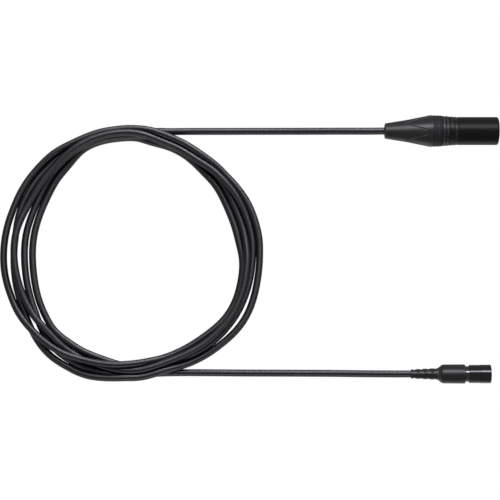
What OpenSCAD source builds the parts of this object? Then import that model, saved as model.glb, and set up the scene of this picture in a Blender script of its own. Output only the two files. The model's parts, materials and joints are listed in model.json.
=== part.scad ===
// A coiled five-core audio cable with a male XLR connector on one end and a small round
// push-pull headset connector on the other. Both connectors point along +X and everything lies
// on the plane z = 0. The origin is on that plane, under the middle of the two connectors.

/* [Cable] */
// Outer diameter of the cable's jacket
cable_d = 4.9; // [4.4:0.1:5.2]
// Wall thickness of the jacket
jacket_wall = 0.5; // [0.4:0.05:0.55]
// Wall thickness of the braided shield under the jacket
shield_wall = 0.15; // [0.1:0.05:0.2]
// Diameter of one insulated core
core_d = 0.95; // [0.8:0.05:1]
// Diameter of the bare copper strand in a core
strand_d = 0.45; // [0.3:0.05:0.55]

/* [Layout] */
// Distance between the axes of the two connectors
plug_spread = 166.6; // [150:0.1:180]
// How far the small connector's rear end lies ahead of the XLR boot's rear end
mini_ahead = 18.5; // [10:0.1:22]
// Distance from the XLR boot's rear end back to the middle of the coil
coil_back = 173.7; // [160:0.1:190]
// Distance from the XLR connector's axis across to the middle of the coil
coil_across = 84.7; // [82:0.1:88]

/* [Coil] */
// Outside diameter of the coiled turns
coil_outer_d = 184.6; // [180:0.1:190]
// Inside diameter of the coiled turns
coil_inner_d = 131.4; // [125:0.1:140]
// Height of the turns where they lie on top of each other
coil_h = 14.1; // [12:0.1:18]

/* [XLR boot and bushing] */
// Length of the cone that the soft boot and the hard bushing share
cone_len = 30.8; // [29.5:0.1:34]
// Diameter of the cone's rear end
cone_rear_d = 10.4; // [9.8:0.1:11]
// Distance from the cone's rear end to its waist, where it begins to open wider
waist_x = 16; // [14:0.5:18]
// Diameter of the cone at its waist
waist_d = 15.5; // [15:0.1:16]
// Radius of the boot's rounded rear edge
boot_edge_r = 1.2; // [0.6:0.1:1.6]
// Thickness of the outer layer that boot tongues and bushing wings share
boot_layer = 1.1; // [0.8:0.1:1.3]
// Number of tongues around the boot
tongue_count = 4; // [3:1:5]
// How far the boot stands turned about its axis, degrees
boot_turn = 8; // [0:1:12]
// Distance from the boot's rear end to the tips of the bushing's wings
wing_tip_x = 14; // [12:0.5:16]
// Distance between a tongue's end and the front end of the cone
tongue_short = 2.3; // [2:0.1:4]
// Diameter of the bushing's collar, the widest part of the connector
collar_d = 21.6; // [21:0.1:22.2]
// Length of the bushing's visible collar
collar_len = 1.6; // [1.4:0.1:2.5]
// Length of the coding ring in front of the collar
coding_len = 6.2; // [5.6:0.1:6.4]
// How far the coding ring stays below the collar's surface
coding_sink = 0.1; // [0.05:0.05:0.3]
// How far the thread reaches into the collar
thread_len = 3.4; // [2.8:0.1:3.8]

/* [XLR shell] */
// Length of the metal shell that shows in front of the coding ring
shell_len = 38.6; // [37:0.1:42]
// Outside diameter of the shell
shell_d = 19.15; // [18.9:0.05:19.25]
// Diameter of the shell's rear end
shoulder_d = 20.6; // [20.2:0.1:20.7]
// Length of the cone between the shell's rear end and its smooth part
shoulder_len = 9.5; // [8:0.1:11]
// Diameter of the open cavity that takes the mating connector
cavity_d = 15.9; // [15.8:0.05:16]
// Depth of the open cavity
cavity_depth = 15.5; // [15:0.1:17]
// Diameter of the bore behind the cavity
bore_d = 16.7; // [16.5:0.1:16.8]
// Diameter of the thread on the shell's rear spigot
thread_d = 18.4; // [18.2:0.1:18.6]
// Depth of the grooves around the shell
groove_depth = 0.25; // [0.15:0.05:0.35]

/* [XLR insert and contacts] */
// Diameter of a contact pin
pin_d = 2; // [1.8:0.1:2.2]
// Diameter of the circle that the pins stand on
pin_circle_d = 9.5; // [9:0.1:9.8]
// How far the pin tips stay behind the shell's front edge
pin_recess = 1.5; // [1:0.1:2.5]
// Thickness of the insert that holds the pins
insert_len = 10.5; // [9:0.5:12]
// Diameter of a solder cup
cup_d = 2.6; // [2.4:0.1:2.8]
// Length of a solder cup behind the insert
cup_len = 6; // [5:0.5:7]

/* [Small connector body] */
// Overall length of the moulded boot, strain relief and grip together
mould_len = 37; // [34:0.1:40]
// Length of the slotted strain relief
relief_len = 18.2; // [17:0.1:20]
// Diameter of the strain relief's rear end
relief_rear_d = 6.3; // [6.1:0.1:6.6]
// Diameter of the strain relief where it meets the grip
relief_front_d = 8; // [7.6:0.1:8.6]
// Diameter of the moulded grip
grip_d = 13.1; // [12.6:0.05:13.6]
// Length of the shoulder between strain relief and grip
grip_shoulder = 4; // [3:0.1:5]
// Spacing of the slots along the strain relief
slot_pitch = 4.8; // [4.6:0.1:5]
// Width of a slot
slot_w = 1.7; // [1.4:0.1:2]
// How far the rows of slots stand turned about the axis, degrees
slot_turn = 85; // [60:5:90]

/* [Small connector barrel and sleeve] */
// Diameter of the barrel's neck behind the sleeve
neck_d = 10.7; // [10.4:0.1:10.9]
// Diameter of the barrel's nose under the sleeve
nose_d = 9.2; // [9:0.05:9.4]
// Diameter of the barrel's bore
barrel_bore_d = 7.5; // [7.3:0.05:7.6]
// Distance that the sleeve pulls back
sleeve_travel = 2; // [1.6:0.1:2.5]
// Length of neck that still shows when the sleeve is pulled back
neck_reserve = 0.7; // [0.5:0.1:1.2]
// Length of the release sleeve
sleeve_len = 15; // [14.5:0.1:17]
// Diameter of the release sleeve
sleeve_d = 12.7; // [12.5:0.05:12.9]
// Wall thickness of the release sleeve
sleeve_wall = 0.65; // [0.6:0.05:0.7]
// Number of grip ribs on the rear half of the sleeve
rib_count = 5; // [3:1:6]
// Height of the grip ribs
rib_h = 0.22; // [0.15:0.01:0.28]
// Distance from the sleeve's front edge back to the barrel's nose
nose_recess = 5.2; // [4.6:0.1:6]
// Wire diameter of the return spring
spring_wire_d = 0.4; // [0.3:0.05:0.45]
// Turns of the return spring
spring_turns = 3.5; // [2.5:0.5:4]
// Number of latch fingers
finger_count = 3; // [2:1:4]

/* [Small connector contacts] */
// Diameter of a socket contact
socket_d = 1.1; // [1:0.05:1.2]
// Bore of a socket contact
socket_bore_d = 0.6; // [0.5:0.05:0.7]
// Diameter of the circle that the sockets stand on
socket_circle_d = 4.4; // [4.2:0.1:4.8]

/* [Fits] */
// Radial clearance of pieces that are pushed together
fit_gap = 0.05; // [0.03:0.01:0.08]
// Clearance between stacked pieces and around soft parts
loose_gap = 0.1; // [0.08:0.01:0.15]

/* [Hidden] */
$fn = 96;
wire_count = 5;
wire_names = ["red", "blue", "yellow", "green", "white"];
wire_colors = ["firebrick", "royalblue", "gold", "seagreen", "whitesmoke"];

// Cable: radii from the outside in
cable_r = cable_d / 2;
jacket_bore_r = cable_r - jacket_wall;
shield_r = jacket_bore_r - fit_gap;
shield_bore_r = shield_r - shield_wall;
braid_grip = 8;
core_ring_r = shield_bore_r - fit_gap - core_d / 2;

// XLR connector: distances from the boot's rear end along the axis
seam = loose_gap;
collar_x = cone_len + 2 * seam;
coding_x = collar_x + collar_len + seam;
shell_x = coding_x + coding_len + seam;
xlr_len = shell_x + shell_len;
spigot_x = collar_x + collar_len - thread_len;
cavity_x = xlr_len - cavity_depth;
insert_lip = 2;
bore_end_x = cavity_x - insert_lip;
insert_x = cavity_x - insert_len;
tongue_x = cone_len - tongue_short;
tongue_half_angle = 9;
core_x = wing_tip_x - 1;
collar_r = collar_d / 2;
thread_r = thread_d / 2;
shell_r = shell_d / 2;
waist_r = waist_d / 2;
pin_r = pin_d / 2;
bore_r = bore_d / 2;
cavity_r = cavity_d / 2;
chuck_r = bore_r - fit_gap;
chuck_wall = 1;
jaw_x = 14.5;
jaw_r = cable_r + 2.4;
jaw_len = tongue_x - jaw_x - 1.4;
jaw_front_r = jaw_r + 2.95;
stub_end_x = jaw_x + jaw_len + 1.5;
cup_x = insert_x - cup_len;
hub_x = 8;
hub_r = cable_r + 1.3;
coding_lip_len = 1.5;
shoulder_x = shell_x + 1.4;
shoulder_ease = 1.3;
shell_edge_r = 1.2;
groove_count = 3;
groove_x = shell_x + 5.05;
groove_pitch = 2.7;
groove_w = 0.8;
pin_step = 360 / (wire_count + 1);
core_step = 360 / wire_count;
tab_w = 2.4;
tab_t = 0.3;
tab_z = cavity_r - 0.3;
lug_z = tab_z - 2.4;
lug_len = 4;

// Small connector: distances from the strain relief's rear end along the axis
sleeve_x = mould_len + sleeve_travel + neck_reserve;
mini_len = sleeve_x + sleeve_len;
nose_x = mini_len - nose_recess;
neck_end_x = sleeve_x + 2.3;
barrel_hold = 8.5;
barrel_x = mould_len - barrel_hold;
ferrule_x = barrel_x - 7;
snap_x = nose_x - 2.3;
snap_w = 0.6;
lip_len = 1;
lip_x = snap_x - lip_len - fit_gap;
neck_r = neck_d / 2;
nose_r = nose_d / 2;
barrel_bore_r = barrel_bore_d / 2;
sleeve_r = sleeve_d / 2;
sleeve_bore_r = sleeve_r - sleeve_wall;
grip_r = grip_d / 2;
socket_insert_x = sleeve_x - 1.7;
socket_x = socket_insert_x - 2.5;
mini_stub_x = barrel_x + 1;
anchor_x = barrel_x + 4;
anchor_w = 1.5;
anchor_r = neck_r - 0.6;
ferrule_r = cable_r + 0.65;
flange_x = barrel_x - 0.8;
slot_span = 3.2;
first_slot_x = 1.5;
snap_seat_r = nose_r - 0.3;
snap_ring_r = nose_r + 0.5;
latch_r = sleeve_bore_r - 0.35;
finger_t = 0.35;
finger_w = 2.6;
rib_drop = 0.08;

// Places: the origin is under the middle of the box around the two connectors
span_x0 = min(0, mini_ahead);
span_x1 = max(xlr_len, mini_ahead + mini_len);
xlr_back = -(span_x0 + span_x1) / 2;
mini_back = xlr_back + mini_ahead;
xlr_across = (plug_spread + grip_r - collar_r) / 2;
mini_across = xlr_across - plug_spread;
coil_x = xlr_back - coil_back;
coil_y = xlr_across - coil_across;

// Routes of the free leads: distance behind the connector, sideways shift, height of the middle
lead_xlr_route = [
    [0, 0, collar_r], [10, -0.1, collar_r], [22, -0.05, 10.1], [34, 0.05, 8.6], [46, 0.15, 6.7],
    [58, 0.25, 4.9], [70, 0.35, 3.5], [82, 0.4, 2.75], [95, 0.4, 2.45], [108, 0.35, 2.45],
    [121, 0.35, 2.45], [139, 0.3, 2.45]
];
lead_mini_route = [
    [0, 0, grip_r], [10, 0, grip_r], [22, 0, 5.8], [34, 0, 4.6], [46, 0.05, 3.5], [58, 0.1, 2.7],
    [70, 0.15, 2.5], [84, 0.2, 2.45], [98, 0.25, 2.45], [112, 0.3, 2.45], [126, 0.4, 2.45],
    [140, 0.5, 2.45], [155, 0.55, 2.45]
];

// A solid of revolution about the X axis, from points of distance along the axis and radius
module turned(profile) {
    rotate([0, 90, 0]) rotate_extrude() polygon([for (p = profile) [p[1], p[0]]]);
}

// A plain tube on the X axis
module tube(x0, x1, r0, r1) {
    turned([[x0, r0], [x1, r0], [x1, r1], [x0, r1]]);
}

// Copies around the X axis; the first one points up
module around(count, turn = 0) {
    for (k = [0 : count - 1]) rotate([turn + 360 * k / count, 0, 0]) children();
}

// Points of a quarter-round edge about (x, r), from angle a0 to a1
function rounded(x, r, radius, a0, a1, steps = 6) =
    [for (k = [0 : steps]) let (a = a0 + (a1 - a0) * k / steps) [x + radius * cos(a), r + radius * sin(a)]];

function unit(v) = v / norm(v);

// Direction of a path at point i
function heading(path, i) = unit(path[min(i + 1, len(path) - 1)] - path[max(i - 1, 0)]);

// Points of one ring of a swept tube, square to the path
function ring_points(path, i, r, sides, up) =
    let (t = heading(path, i), u = unit(cross(up, t)), v = cross(t, u))
    [for (k = [0 : sides - 1]) path[i] + r * (cos(360 * k / sides) * u + sin(360 * k / sides) * v)];

// A round rod swept along a path, which never runs along the direction up
module swept(path, d, sides, up = [0, 0, 1]) {
    n = len(path);
    points = [for (i = [0 : n - 1]) each ring_points(path, i, d / 2, sides, up)];
    walls = [
        for (i = [0 : n - 2]) for (k = [0 : sides - 1])
            [for (c = [[0, 0], [1, 0], [1, 1], [0, 1]]) (i + c[0]) * sides + (k + c[1]) % sides]
    ];
    rear = [for (k = [0 : sides - 1]) k];
    front = [for (k = [sides - 1 : -1 : 0]) (n - 1) * sides + k];
    polyhedron(points, concat([rear], walls, [front]), convexity = 6);
}

module at_xlr() {
    translate([xlr_back, xlr_across, collar_r]) children();
}

module at_mini() {
    translate([mini_back, mini_across, grip_r]) children();
}

// ---- Cable ----

// The coiled turns as one ring with the outer shape of the coil
module cable_coil() {
    r0 = coil_inner_d / 2 + cable_r;
    r1 = coil_outer_d / 2 - cable_r;
    z1 = coil_h - cable_r;
    color("dimgray")
        translate([coil_x, coil_y, 0])
            rotate_extrude()
                polygon(concat(
                    rounded(r0, cable_r, cable_r, 270, 180),
                    rounded(r0, z1, cable_r, 180, 90),
                    rounded(r1, z1, cable_r, 90, 0),
                    rounded(r1, cable_r, cable_r, 0, -90)
                ));
}

module lead(route, back, across) {
    color("dimgray")
        swept([for (p = route) [back - p[0], across + p[1], p[2]]], cable_d, 12);
}

// ---- XLR connector ----

// Radius of the outer cone, and of the bushing's core under the shared layer, at distance x
function cone_r(x) =
    x < waist_x
        ? mix(cone_rear_d / 2, waist_r, x / waist_x)
        : mix(waist_r, collar_r, (x - waist_x) / (cone_len - waist_x));
function core_r(x) = cone_r(x) - boot_layer;
cone_slope = atan((waist_r - cone_rear_d / 2) / waist_x);

// Flat-sided wedges between the boot's tongues: a point at the rear, wide at the tongues' ends
module wings(grow) {
    half_w = cone_r(tongue_x) * sin(180 / tongue_count - tongue_half_angle) + grow;
    x1 = collar_x;
    around(tongue_count, 180 / tongue_count + boot_turn)
        linear_extrude(collar_d)
            polygon([
                [wing_tip_x - 2 * grow, 0], [tongue_x - grow, half_w], [x1, half_w],
                [x1, -half_w], [tongue_x - grow, -half_w]
            ]);
}

module xlr_boot() {
    color("dimgray")
        at_xlr()
            difference() {
                turned(concat(
                    [[0, cable_r + fit_gap]],
                    rounded(boot_edge_r, cone_r(0) - boot_edge_r, boot_edge_r, 180, 90 + cone_slope),
                    [[waist_x, waist_r], [tongue_x, cone_r(tongue_x)]],
                    [[tongue_x, core_r(tongue_x) + fit_gap], [waist_x, core_r(waist_x) + fit_gap]],
                    [[core_x - fit_gap, core_r(core_x) + fit_gap], [core_x - fit_gap, hub_r + fit_gap]],
                    [[hub_x - fit_gap, hub_r + fit_gap], [hub_x - fit_gap, cable_r + fit_gap]]
                ));
                wings(seam);
            }
}

module xlr_bushing() {
    socket_r = thread_r + fit_gap;
    step_x = cone_len - 3 * seam;
    color("dimgray")
        at_xlr()
            union() {
                turned([
                    [hub_x, cable_r + loose_gap], [hub_x, hub_r], [core_x, hub_r],
                    [core_x, core_r(core_x)], [waist_x, core_r(waist_x)],
                    [step_x, core_r(step_x)], [step_x, collar_r - 3 * seam],
                    [collar_x, collar_r - 3 * seam],
                    [collar_x, collar_r], [collar_x + collar_len, collar_r],
                    [collar_x + collar_len, socket_r], [spigot_x, socket_r],
                    [spigot_x, bore_r], [jaw_x + jaw_len, jaw_front_r + fit_gap],
                    [jaw_x - loose_gap, jaw_r + fit_gap], [jaw_x - loose_gap, cable_r + loose_gap]
                ]);
                intersection() {
                    union() {
                        wings(0);
                        tube(tongue_x + seam, collar_x, thread_r, collar_d);
                    }
                    turned([
                        [wing_tip_x, core_r(wing_tip_x) - seam], [waist_x, core_r(waist_x) - seam],
                        [cone_len, core_r(cone_len) - seam], [cone_len, collar_r],
                        [waist_x, waist_r], [wing_tip_x, cone_r(wing_tip_x)]
                    ]);
                }
            }
}

module xlr_coding_ring() {
    r = collar_r - coding_sink;
    lip_r = r - coding_sink;
    bevel = 0.25;
    x1 = coding_x + coding_len;
    lip_x = x1 - coding_lip_len;
    color("gray")
        at_xlr()
            turned([
                [coding_x, thread_r + fit_gap], [coding_x, r - bevel], [coding_x + bevel, r],
                [lip_x - bevel, r], [lip_x, r - bevel], [lip_x + bevel, lip_r],
                [x1 - bevel, lip_r], [x1, lip_r - bevel], [x1, thread_r + fit_gap]
            ]);
}

// Radius of the shell where its cone eases down to the smooth front part
function shoulder_r(x) =
    let (rest = max(0, 1 - (x - shoulder_x) / shoulder_len))
    shell_r + (shoulder_d / 2 - shell_r) * pow(rest, shoulder_ease);

module xlr_shell() {
    mouth_bevel = 0.3;
    rear_edge = 0.5;
    rear_r = shoulder_d / 2 - rear_edge;
    color("#202124")
        at_xlr()
            difference() {
                turned(concat(
                    [[spigot_x + seam, bore_r], [spigot_x + seam, thread_r], [shell_x, thread_r]],
                    rounded(shell_x + rear_edge, rear_r, rear_edge, 180, 90),
                    [for (k = [0 : 6]) let (x = shoulder_x + shoulder_len * k / 6) [x, shoulder_r(x)]],
                    rounded(xlr_len - shell_edge_r, shell_r - shell_edge_r, shell_edge_r, 90, 0),
                    [[xlr_len, cavity_r + mouth_bevel], [xlr_len - mouth_bevel, cavity_r]],
                    [[bore_end_x, cavity_r], [bore_end_x, bore_r]]
                ));
                for (k = [0 : groove_count - 1]) {
                    x = groove_x + groove_pitch * k;
                    tube(x - groove_w / 2, x + groove_w / 2, shoulder_r(x) - groove_depth, collar_r);
                }
            }
}

// Places of the contact pins: even steps around, with the top place left free
module at_pin(i) {
    rotate([pin_step * i, 0, 0]) translate([0, 0, pin_circle_d / 2]) children();
}

module xlr_insert() {
    color("#1b1b1b")
        at_xlr()
            difference() {
                turned([
                    [insert_x, 0], [insert_x, bore_r - fit_gap], [bore_end_x, bore_r - fit_gap],
                    [bore_end_x, cavity_r - fit_gap], [cavity_x, cavity_r - fit_gap], [cavity_x, 0]
                ]);
                for (i = [1 : wire_count]) at_pin(i) tube(insert_x - 1, cavity_x + 1, 0, pin_r + fit_gap);
                translate([insert_x - 1, -tab_w / 2 - loose_gap, tab_z - loose_gap])
                    cube([bore_end_x - insert_x + 1, tab_w + 2 * loose_gap, bore_r]);
            }
}

module xlr_pin(i) {
    tip_x = xlr_len - pin_recess;
    cup_r = cup_d / 2;
    cup_depth = cup_len - 1.5;
    cup_wall = 0.3;
    stop_r = cup_r + 0.3;
    stop_len = 1;
    color("silver")
        at_xlr()
            at_pin(i)
                difference() {
                    turned(concat(
                        [[cup_x, cup_r - cup_wall], [cup_x, cup_r], [insert_x - stop_len, cup_r]],
                        [[insert_x - stop_len, stop_r], [insert_x, stop_r], [insert_x, pin_r]],
                        rounded(tip_x - pin_r, 0, pin_r, 90, 0),
                        [[cup_x + cup_depth, 0], [cup_x + cup_depth, cup_r - cup_wall]]
                    ));
                    translate([cup_x - 1, -cup_r - 1, cup_wall])
                        cube([cup_depth, 2 * cup_r + 2, cup_r]);
                }
}

// Leaf that joins the cable's shield to the shell: strip, contact bump, leg and solder lug
module xlr_ground_tab() {
    x0 = insert_x - tab_t - fit_gap;
    bump_r = tab_t;
    color("silver")
        at_xlr()
            union() {
                translate([x0, -tab_w / 2, tab_z])
                    cube([bore_end_x - loose_gap - x0, tab_w, tab_t]);
                translate([insert_x + insert_len / 2.6, 0, bore_r - 2 * fit_gap - bump_r])
                    rotate([90, 0, 0])
                        cylinder(h = 2 * bump_r, r = bump_r, center = true);
                translate([x0, -tab_w / 2, lug_z]) cube([tab_t, tab_w, tab_z + tab_t - lug_z]);
                translate([x0 - lug_len, -tab_w / 2, lug_z]) cube([lug_len + tab_t, tab_w, tab_t]);
            }
}

// Collet that grips the cable: slotted jaws behind, a tube that holds the insert in front
module xlr_chuck() {
    jaw_slot = 1.2;
    color("lightgray")
        at_xlr()
            difference() {
                turned([
                    [jaw_x, cable_r + fit_gap], [jaw_x, jaw_r], [jaw_x + jaw_len, jaw_front_r],
                    [spigot_x + seam, jaw_front_r + seam], [spigot_x + seam, chuck_r],
                    [insert_x, chuck_r], [insert_x, chuck_r - chuck_wall],
                    [jaw_x + jaw_len + 5, chuck_r - chuck_wall], [jaw_x + jaw_len, cable_r + fit_gap]
                ]);
                for (turn = [0, 90])
                    rotate([turn, 0, 0])
                        translate([jaw_x - 1, -jaw_slot / 2, -bore_r])
                            cube([jaw_len, jaw_slot, 2 * bore_r]);
                translate([insert_x - 1, -tab_w / 2 - loose_gap, 0])
                    cube([2, tab_w + 2 * loose_gap, bore_r]);
            }
}

// ---- What the two cable ends have in common ----

// A cable end inside a connector, with its jacket cut back to x1
module stripped_jacket(x1) {
    color("dimgray") tube(0, x1, jacket_bore_r, cable_r);
}

function mix(a, b, s) = a + (b - a) * s;
function eased(s) = let (t = min(1, max(0, s))) t * t * (3 - 2 * t);

// Point of core k: it leaves the bundle at x0 and reaches its contact's angle and radius at x1
function core_point(k, x, x0, x1, angle, r) =
    let (s = eased((x - x0) / (x1 - x0)))
    let (a = mix(core_step * (k + 0.5), angle, s), q = mix(core_ring_r, r, s))
    [x, -q * sin(a), q * cos(a)];

// Insulated core k with its bare strand in the contact's cup
module core(k, x0, x1, x2, angle, r, strand_len) {
    steps = 8;
    inside = 5;
    path = concat(
        [core_point(k, x0 - inside, x0, x1, angle, r)],
        [for (i = [0 : steps]) core_point(k, mix(x0, x1, i / steps), x0, x1, angle, r)],
        [core_point(k, x2, x0, x1, angle, r)]
    );
    color(wire_colors[k])
        union() {
            swept(path, core_d, 8);
            rotate([angle, 0, 0])
                translate([0, 0, r])
                    tube(x2 - core_d, x2 + strand_len, 0, strand_d / 2);
        }
}

module xlr_cable_end() {
    at_xlr() stripped_jacket(stub_end_x);
}

module xlr_wire(k) {
    gap = 0.3;
    strand_len = 3;
    at_xlr()
        core(
            k, stub_end_x + 0.5, cup_x - 2, cup_x - gap, pin_step * (k + 1), pin_circle_d / 2,
            strand_len
        );
}

// The braid ends past the jacket and is drawn out to a pigtail on the ground tab's lug
module xlr_shield() {
    tail_d = 0.7;
    tail_z = lug_z - fit_gap - tail_d / 2;
    x0 = stub_end_x + 0.8;
    x1 = insert_x - 1.5;
    rise = 1.3;
    bare_len = 1.5;
    color("peru")
        at_xlr()
            union() {
                tube(stub_end_x - braid_grip, stub_end_x + bare_len, shield_bore_r, shield_r);
                swept(
                    [
                        for (s = [0 : 0.1 : 1]) let (z = mix(shield_r - fit_gap, tail_z, eased(s * rise)))
                            [mix(x0, x1, s), 0, z]
                    ],
                    tail_d, 8
                );
            }
}

// ---- Small connector ----

// Moulded strain relief and grip; the rows of slots are staggered
module mini_boot() {
    r0 = relief_rear_d / 2;
    r1 = relief_front_d / 2;
    edge = 0.3;
    slot_rows = 4;
    slot_count = floor(relief_len / slot_pitch);
    grip_x = relief_len + grip_shoulder;
    color("#2a2b2d")
        at_mini()
            difference() {
                turned([
                    [0, cable_r + fit_gap], [0, r0 - edge], [edge, r0], [relief_len, r1],
                    [relief_len + 0.33 * grip_shoulder, mix(r1, grip_r, 0.35)],
                    [relief_len + 0.68 * grip_shoulder, mix(r1, grip_r, 0.85)],
                    [grip_x, grip_r], [mould_len - edge, grip_r], [mould_len, grip_r - edge],
                    [mould_len, neck_r + fit_gap], [anchor_x + anchor_w, neck_r + fit_gap],
                    [anchor_x + anchor_w, anchor_r + fit_gap], [anchor_x, anchor_r + fit_gap],
                    [anchor_x, neck_r + fit_gap], [flange_x - fit_gap, neck_r + fit_gap],
                    [flange_x - fit_gap, ferrule_r + fit_gap], [ferrule_x - fit_gap, ferrule_r + fit_gap],
                    [ferrule_x - fit_gap, cable_r + fit_gap]
                ]);
                for (row = [0 : slot_rows - 1])
                    rotate([slot_turn + 360 * row / slot_rows, 0, 0])
                        for (k = [0 : slot_count])
                            if (slot_x(row, k) + slot_w < relief_len)
                                translate([slot_x(row, k), -slot_span / 2, cable_r - 0.3])
                                    cube([slot_w, slot_span, grip_r]);
            }
}

// Start of slot k in a row: every second row is moved by half the spacing
function slot_x(row, k) = first_slot_x + slot_pitch * (k + 0.5 * (row % 2));

module mini_ferrule() {
    color("gainsboro")
        at_mini()
            turned([
                [ferrule_x, cable_r + fit_gap], [ferrule_x, ferrule_r], [flange_x, ferrule_r],
                [flange_x, neck_r], [barrel_x - fit_gap, neck_r], [barrel_x - fit_gap, cable_r + fit_gap]
            ]);
}

module mini_barrel() {
    nose_lip = 0.5;
    color("silver")
        at_mini()
            turned([
                [barrel_x, barrel_bore_r], [barrel_x, neck_r], [anchor_x - fit_gap, neck_r],
                [anchor_x - fit_gap, anchor_r], [anchor_x + anchor_w + fit_gap, anchor_r],
                [anchor_x + anchor_w + fit_gap, neck_r], [neck_end_x, neck_r], [neck_end_x, nose_r],
                [snap_x - fit_gap, nose_r], [snap_x - fit_gap, snap_seat_r],
                [snap_x + snap_w + fit_gap, snap_seat_r], [snap_x + snap_w + fit_gap, nose_r],
                [nose_x, nose_r], [nose_x, barrel_bore_r - nose_lip],
                [nose_x - nose_lip, barrel_bore_r - nose_lip], [nose_x - nose_lip, barrel_bore_r]
            ]);
}

// Release sleeve: ribs around its rear half, a smooth front half, two guide lips inside
module mini_sleeve() {
    valley_r = sleeve_r - rib_h;
    edge = 0.3;
    half_x = sleeve_x + 0.52 * sleeve_len;
    pitch = (half_x - sleeve_x - edge) / rib_count;
    flank = 0.15;
    rear_guide = 2;
    color("#2f3033")
        at_mini()
            turned(concat(
                [[sleeve_x, neck_r + fit_gap], [sleeve_x, valley_r - edge], [sleeve_x + edge, valley_r]],
                [
                    for (k = [0 : rib_count - 1]) let (x = sleeve_x + edge + pitch * (k + 0.2))
                        each [
                            [x, valley_r], [x + flank, sleeve_r - rib_drop],
                            [x + 0.6 * pitch - flank, sleeve_r - rib_drop], [x + 0.6 * pitch, valley_r]
                        ]
                ],
                [[half_x, valley_r], [half_x + flank, sleeve_r], [mini_len - edge, sleeve_r]],
                [[mini_len, sleeve_r - edge], [mini_len, sleeve_bore_r]],
                [[lip_x + lip_len, sleeve_bore_r], [lip_x + lip_len, nose_r + fit_gap]],
                [[lip_x, nose_r + fit_gap], [lip_x, sleeve_bore_r]],
                [[sleeve_x + rear_guide, sleeve_bore_r], [sleeve_x + rear_guide, neck_r + fit_gap]]
            ));
}

module mini_spring() {
    x0 = neck_end_x + loose_gap + spring_wire_d / 2;
    x1 = lip_x - loose_gap - spring_wire_d / 2;
    r = (nose_r + sleeve_bore_r) / 2;
    steps = 12 * spring_turns;
    color("lightsteelblue")
        at_mini()
            swept(
                [
                    for (i = [0 : steps]) let (a = 360 * spring_turns * i / steps)
                        [mix(x0, x1, i / steps), r * cos(a), r * sin(a)]
                ],
                spring_wire_d, 8, [1, 0, 0]
            );
}

module mini_snap_ring() {
    color("lightsteelblue")
        at_mini()
            difference() {
                tube(snap_x, snap_x + snap_w, snap_seat_r + fit_gap, snap_ring_r);
                translate([snap_x - 1, -1, 0]) cube([snap_w + 2, 2, neck_r]);
            }
}

// Latch collar with spring fingers that hook around the mating connector
module mini_latch() {
    x0 = snap_x + snap_w + loose_gap;
    collar_w = 1;
    finger_x = mini_len - 1.3;
    hook_w = 0.6;
    color("lightsteelblue")
        at_mini()
            union() {
                tube(x0, x0 + collar_w, nose_r + fit_gap, latch_r);
                intersection() {
                    union() {
                        tube(x0, finger_x, latch_r - finger_t, latch_r);
                        tube(finger_x - hook_w, finger_x, nose_r + fit_gap, latch_r);
                    }
                    around(finger_count, 180 / finger_count)
                        translate([x0, -finger_w / 2, 0])
                            cube([finger_x - x0 + 1, finger_w, neck_r]);
                }
            }
}

module at_socket(k) {
    rotate([core_step * (k + 0.5), 0, 0]) translate([0, 0, socket_circle_d / 2]) children();
}

module mini_insert() {
    nose_lip = 0.5;
    front_x = nose_x - loose_gap;
    seat_x = nose_x - nose_lip;
    seat_r = barrel_bore_r - nose_lip - fit_gap;
    key_w = 1.2;
    color("#1b1b1b")
        at_mini()
            difference() {
                turned([
                    [socket_insert_x, 0], [socket_insert_x, barrel_bore_r - fit_gap],
                    [seat_x, barrel_bore_r - fit_gap], [seat_x, seat_r], [front_x, seat_r], [front_x, 0]
                ]);
                for (k = [0 : wire_count - 1])
                    at_socket(k) tube(socket_insert_x - 1, front_x + 1, 0, socket_d / 2 + fit_gap);
                translate([front_x - 1, -key_w / 2, seat_r - key_w / 2]) cube([2, key_w, key_w]);
            }
}

module mini_socket(i) {
    r = socket_d / 2;
    bore = socket_bore_d / 2;
    x1 = nose_x - 4 * loose_gap;
    bore_depth = 6;
    cup_depth = 2;
    color("goldenrod")
        at_mini()
            at_socket(i - 1)
                difference() {
                    tube(socket_x, x1, 0, r);
                    tube(x1 - bore_depth, x1 + 1, 0, bore);
                    tube(socket_x - 1, socket_x + cup_depth, 0, bore);
                }
}

module mini_cable_end() {
    at_mini() stripped_jacket(mini_stub_x);
}

module mini_wire(k) {
    gap = 0.2;
    strand_len = 1.5;
    at_mini()
        core(
            k, mini_stub_x + 0.3, socket_x - 1, socket_x - gap, core_step * (k + 0.5),
            socket_circle_d / 2, strand_len
        );
}

// The braid flares out to the barrel's bore in front of the jacket
module mini_shield() {
    flare_r = barrel_bore_r - fit_gap;
    x0 = mini_stub_x + 0.2;
    x1 = x0 + flare_r - shield_r;
    color("peru")
        at_mini()
            turned([
                [mini_stub_x - braid_grip, shield_bore_r], [mini_stub_x - braid_grip, shield_r],
                [x0, shield_r],
                [x1, flare_r], [x1 + shield_wall, flare_r], [x0 + shield_wall, shield_bore_r]
            ]);
}

cable_coil();
lead(lead_xlr_route, xlr_back, xlr_across);  // lead_xlr
lead(lead_mini_route, mini_back, mini_across);  // lead_mini
xlr_shell();
xlr_insert();
xlr_ground_tab();
xlr_chuck();
xlr_bushing();
xlr_boot();
xlr_coding_ring();
xlr_cable_end();
xlr_shield();
for (i = [1 : wire_count]) xlr_pin(i);
for (k = [0 : wire_count - 1]) xlr_wire(k);
mini_boot();
mini_barrel();
mini_ferrule();
mini_sleeve();
mini_spring();
mini_snap_ring();
mini_latch();
mini_insert();
mini_cable_end();
mini_shield();
for (i = [1 : wire_count]) mini_socket(i);
for (k = [0 : wire_count - 1]) mini_wire(k);
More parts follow.
